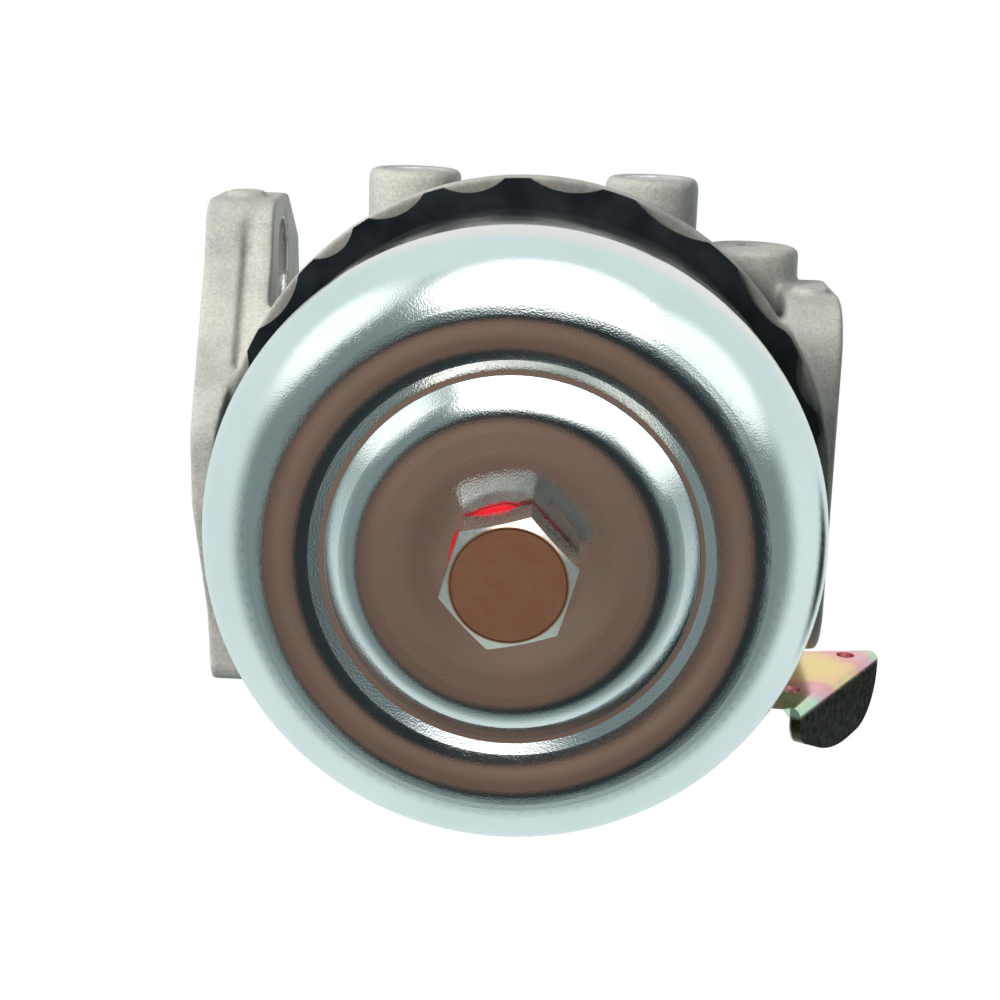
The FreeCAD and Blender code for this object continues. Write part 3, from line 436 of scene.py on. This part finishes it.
def yellow_chromate(name, lever):
    """Chromated zinc: a thin film, gold in the middle of a lever, then pink, then pale green. The choke
    lever's bent tab has painted shade: dark olive where it hangs in shadow."""
    s = Surface(name, Metallic=1.0)
    low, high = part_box(lever)
    gold = (low.x + 0.62 * (high.x - low.x), low.y, low.z + 0.48 * (high.z - low.z))
    gold_reach = 0.016
    patches = s.math("MULTIPLY", s.noise(0.006, 3, 0.6), 0.5)
    film = s.math("ADD", s.distance(gold, gold_reach), patches)
    colour = s.ramp(film, [(0.42, (1.0, 0.80, 0.34)), (0.56, (1.0, 0.72, 0.38)), (0.68, (0.98, 0.46, 0.48)),
                           (0.86, (0.92, 0.54, 0.62)), (0.98, (0.68, 0.86, 0.62))])
    s.set("Roughness", s.span(s.noise(0.0009, 3), 0.16, 0.26))
    s.bumps((s.noise(0.0004, 2), 0.000004))
    if lever == "choke_lever":
        outward = (FOLD[1] - FOLD[0]).cross(Vector((0, 1, 0))).normalized() * -1
        fold = (middle("choke_shaft") + FOLD[0]).dot(outward)
        beyond_fold = s.past(outward, fold - 1.5 * MM, fold - 1.1 * MM)
        behind_face = s.past((0, 1, 0), low.y + 0.9 * MM, low.y + 1.5 * MM)
        # painted shade: the bent tab, which hangs in shadow, is coloured dark olive instead of the film's
        # colours
        olive = s.ramp(s.noise(0.0016, 4, 0.7), [(0.35, (0.022, 0.020, 0.008)),
                                                 (0.65, (0.080, 0.062, 0.026))])
        colour = s.mix("MIX", colour, olive, s.math("MULTIPLY", beyond_fold, behind_face))
    s.set("Base Color", colour)
    return s.material


def bolt_steel():
    """Plated steel, rough on its sides, with a smooth copper-brown tint inside a dark ring on the end."""
    s = Surface("bolt_steel", Metallic=1.0)
    end = middle("bowl_bolt")
    end.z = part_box("bowl_bolt")[0].z
    end_radius = 0.0062
    above_end = s.past((0, 0, 1), end.z + 0.00002, end.z + 0.00008)
    steel = s.ramp(s.noise(0.004, 3), [(0.35, (0.95, 0.90, 0.82)), (0.65, (1.0, 0.98, 0.91))])
    # a copper-brown tint over the bolt's end face, inside the dark ring
    copper_tint = s.ramp(s.noise(0.0022, 4, 0.6), [(0.35, (0.98, 0.66, 0.48)), (0.65, (1.0, 0.80, 0.62))])
    ring = s.ramp(s.distance(end, end_radius), [(0.955, (1,)), (0.972, (0.3,)),
                                                (0.982, (0.3,)), (0.99, (1,))])
    s.set("Base Color", s.mix("MIX", s.mix("MULTIPLY", copper_tint, ring), steel, above_end))
    end_roughness = s.span(s.noise(0.001, 3), 0.10, 0.20)
    side_roughness = s.span(s.noise(0.0008, 4), 0.22, 0.34)
    s.set("Roughness", s.blend(end_roughness, side_roughness, above_end))
    s.bumps((s.noise(0.0005, 3), 0.000006))
    return s.material


def make_materials():
    """A material for each slot of the record."""
    return {
        "cast_aluminium": cast_aluminium(),
        "machined_aluminium": machined_aluminium(),
        "zinc_plate": zinc_plate(),
        "bolt_steel": bolt_steel(),
        "black_rubber": matte("black_rubber", dark=(0.002, 0.004, 0.006), light=(0.009, 0.012, 0.014),
                              roughness=(0.55, 0.75), grain=0.0006, depth=0.00004,
                              Specular_IOR_Level=0.25),
        "red_fibre": matte("red_fibre", dark=(0.26, 0.004, 0.008), light=(0.50, 0.010, 0.018),
                           roughness=(0.4, 0.6), grain=0.0007, depth=0.00004, Specular_IOR_Level=0.2),
        "yellow_chromate": yellow_chromate("yellow_chromate", "choke_lever"),
        "brass": turned_metal("brass", dark=(0.70, 0.50, 0.22), light=(0.82, 0.63, 0.32),
                              roughness=(0.16, 0.32)),
        "shaft_steel": turned_metal("shaft_steel", dark=(0.46, 0.46, 0.46), light=(0.58, 0.58, 0.57),
                                    roughness=(0.2, 0.36)),
        "spring_steel": turned_metal("spring_steel", dark=(0.50, 0.51, 0.53), light=(0.66, 0.68, 0.70),
                                     roughness=(0.2, 0.34)),
        "bronze": turned_metal("bronze", dark=(0.36, 0.24, 0.12), light=(0.50, 0.34, 0.18),
                               roughness=(0.4, 0.6), depth=0.000006),
        "felt": matte("felt", dark=(0.05, 0.045, 0.04), light=(0.12, 0.11, 0.10),
                      roughness=(0.85, 0.98), grain=0.0004, depth=0.0001),
        "float_plastic": matte("float_plastic", dark=(0.02, 0.02, 0.02), light=(0.05, 0.05, 0.05),
                               roughness=(0.5, 0.7), grain=0.0008, depth=0.00003),
    }


# ---------------------------------------------------------------- casting skin

def machined(points):
    """Two masks over points on the casting: those kept in place, which lie on cut faces, in holes or on the
    rim face and marks but not where a hole meets a face, and those that are brightly cut. Lengths here
    are in millimetres, and each radius takes in a little more than the cut itself."""
    x, y, z = (points / MM).T
    skin = 0.12
    casting_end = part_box("body_casting")[1].x / MM
    bowl = middle("float_bowl") / MM
    choke = middle("choke_shaft") / MM
    from_bowl = np.hypot(x - bowl.x, y)
    from_throttle = np.hypot(x - middle("throttle_shaft").x / MM, y)

    # the rim face, and the round marks on the edges of the engine flange and of the horn's plate
    rim_radius = 38.2
    flange_mark_x, flange_mark_z, flange_mark_radius, flange_edge = 4.4, -3, 3.0, -32.7
    horn_mark_inset, horn_mark_z, horn_mark_radius, horn_edge = 3.5, -10.5, 2.9, -23.9
    crisp = (abs(z - RIM_FACE / MM) < skin) & (from_bowl < rim_radius)
    crisp |= (np.hypot(x - flange_mark_x, z - flange_mark_z) < flange_mark_radius) & (y < flange_edge)
    from_horn_mark = np.hypot(x - casting_end + horn_mark_inset, z - horn_mark_z)
    crisp |= (from_horn_mark < horn_mark_radius) & (y < horn_edge)

    # the faces of the engine flange and the horn's plate, and the tops of the throttle's and needle's bosses
    throttle_boss_radius = 6.7
    needle_boss_top, needle_boss_radius = 24, 5.6
    throttle_boss_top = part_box("throttle_shaft_seal")[0].z / MM
    faces = (abs(x) < skin) | (abs(x - casting_end) < skin)
    faces |= (abs(z - throttle_boss_top) < skin) & (from_throttle < throttle_boss_radius)
    faces |= (abs(z - needle_boss_top) < skin) & (from_bowl < needle_boss_radius)

    # the air passage away from the choke shaft
    bore_radius, choke_gap = 11.8, 3
    holes = (np.hypot(y, z) < bore_radius) & (x > -1) & (abs(x - choke.x) > choke_gap)
    # the engine flange's stud slots
    slot_middle, slot_straight, slot_radius, slot_end = 24.5, 1.3, 4.5, 12
    along_slot = np.maximum(abs(abs(y) - slot_middle) - slot_straight, 0)
    holes |= (np.hypot(along_slot, z) < slot_radius) & (x < slot_end)
    # the horn's bolt holes
    bolt_y, bolt_z, bolt_radius, bolt_depth = 17, 13, 2.4, 6
    holes |= (np.hypot(abs(y) - bolt_y, abs(z) - bolt_z) < bolt_radius) & (x > casting_end - bolt_depth)
    # the upright holes
    for node, radius in (("throttle_shaft", 4.4), ("main_mixture_needle", 2.8), ("idle_mixture_needle", 2.3),
                         ("idle_chamber_plug", 5.0)):
        axis = middle(node) / MM
        holes |= np.hypot(x - axis.x, y - axis.y) < radius
    # the choke shaft's hole
    choke_radius, choke_boss_end = 3.0, -27
    holes |= (np.hypot(x - choke.x, z) < choke_radius) & (y > choke_boss_end)
    # the two plugged passages
    plug_offset, plug_z, plug_radius, plug_start = 15.2, -4, 3.6, -34
    for side in (-1, 1):
        holes |= (np.hypot(x - bowl.x - side * plug_offset, z - plug_z) < plug_radius) & (y < plug_start)
    return crisp | (faces ^ holes), faces | holes


def relax(points, edges, weight, rounds):
    """Move each point part of the way to the middle of its neighbours, again and again."""
    count = len(points)
    links = np.bincount(edges.ravel(), minlength=count)[:, None]
    for _ in range(rounds):
        total = np.zeros_like(points)
        for axis in range(3):
            total[:, axis] = (np.bincount(edges[:, 0], points[edges[:, 1], axis], count)
                              + np.bincount(edges[:, 1], points[edges[:, 0], axis], count))
        points = points + weight * (total / np.maximum(links, 1) - points)
    return points


def casting_skin():
    """The body casting with its as-cast edges and corners rounded, and its machined faces kept."""
    mesh = NODES["body_casting"].data.copy()
    shape = bmesh.new()
    shape.from_mesh(mesh)
    bmesh.ops.remove_doubles(shape, verts=shape.verts, dist=MERGE_DISTANCE)
    shape.to_mesh(mesh)
    shape.free()
    mesh.materials.clear()
    skin = bpy.data.objects.new("cast_body_skin", mesh)
    bpy.context.scene.collection.objects.link(skin)
    remesh = skin.modifiers.new("voxels", "REMESH")
    remesh.mode = "VOXEL"
    remesh.voxel_size = VOXEL_SIZE
    bake(skin)

    mesh = skin.data
    points = np.empty(len(mesh.vertices) * 3)
    mesh.vertices.foreach_get("co", points)
    points = points.reshape(-1, 3)
    edges = np.empty(len(mesh.edges) * 2, int)
    mesh.edges.foreach_get("vertices", edges)
    edges = edges.reshape(-1, 2)
    still = machined(points)[0]
    for _ in range(EDGE_RINGS):
        still[edges[~still[edges].all(axis=1)]] = False
    weight = np.where(still, CUT_WEIGHT, CAST_WEIGHT)[:, None]
    points = relax(points, edges, weight, SMOOTHING_ROUNDS)
    mesh.vertices.foreach_set("co", points.ravel())
    mesh.update()

    thin = skin.modifiers.new("thin", "DECIMATE")
    thin.ratio = KEPT_SHARE
    bake(skin)
    mesh = skin.data
    centres = np.empty(len(mesh.polygons) * 3)
    mesh.polygons.foreach_get("center", centres)
    bright = machined(centres.reshape(-1, 3))[1]
    mesh.materials.append(MATERIALS["cast_aluminium"])
    mesh.materials.append(MATERIALS["machined_aluminium"])
    mesh.polygons.foreach_set("material_index", bright.astype(int))
    mesh.shade_smooth()
    mesh.set_sharp_from_angle(angle=math.radians(42))
    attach(skin, "casting")
    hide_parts("body_casting")


def squeezed_washer():
    """The red fibre washer, its edge bulged and uneven where the bolt has squeezed it."""
    low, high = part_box("bowl_bolt_washer")
    centre = (low + high) / 2
    hole = 4.6 * MM
    reach = 6.45 * MM
    bulge = 0.22 * MM
    # a slow and a quick wave round the edge: height in millimetres, how many, and where they start
    waves = ((0.14, 3, 0.7), (0.07, 11, 0.0))
    around = 120
    profile = 9
    shape = bmesh.new()
    rings = []
    for i in range(around):
        angle = 2 * math.pi * i / around
        spread = reach + sum(size * math.sin(count * angle + start) for size, count, start in waves) * MM
        ring = [shape.verts.new((centre.x + hole * math.cos(angle), centre.y + hole * math.sin(angle), z))
                for z in (high.z, low.z)]
        for j in range(profile):
            turn = math.pi * (j / (profile - 1) - 0.5)
            radius = spread + bulge * (math.cos(turn) - 1)
            height = centre.z + (high.z - low.z) / 2 * math.sin(turn)
            ring.append(shape.verts.new((centre.x + radius * math.cos(angle),
                                         centre.y + radius * math.sin(angle), height)))
        rings.append(ring)
    for ring, after in zip(rings, rings[1:] + rings[:1]):
        for j in range(len(ring)):
            k = (j + 1) % len(ring)
            shape.faces.new((ring[j], ring[k], after[k], after[j]))
    bmesh.ops.recalc_face_normals(shape, faces=shape.faces)
    mesh = bpy.data.meshes.new("squeezed_washer")
    shape.to_mesh(mesh)
    shape.free()
    mesh.shade_smooth()
    mesh.set_sharp_from_angle(angle=math.radians(50))
    mesh.materials.append(MATERIALS["red_fibre"])
    washer = bpy.data.objects.new("squeezed_washer", mesh)
    bpy.context.scene.collection.objects.link(washer)
    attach(washer, "casting")
    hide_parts("bowl_bolt_washer")


def bake(item):
    """Apply an object's modifiers to its mesh."""
    graph = bpy.context.evaluated_depsgraph_get()
    mesh = bpy.data.meshes.new_from_object(item.evaluated_get(graph))
    item.modifiers.clear()
    item.data = mesh


make_camera()
make_studio()
MATERIALS = make_materials()
for part in frame["record"]["subparts"]:
    node = NODES[part["node"]]
    node.data.materials.clear()
    node.data.materials.append(MATERIALS[part["material_slot"]])

NODES["throttle_lever"].data.materials[0] = yellow_chromate("throttle_lever_chromate", "throttle_lever")

casting_skin()
squeezed_washer()
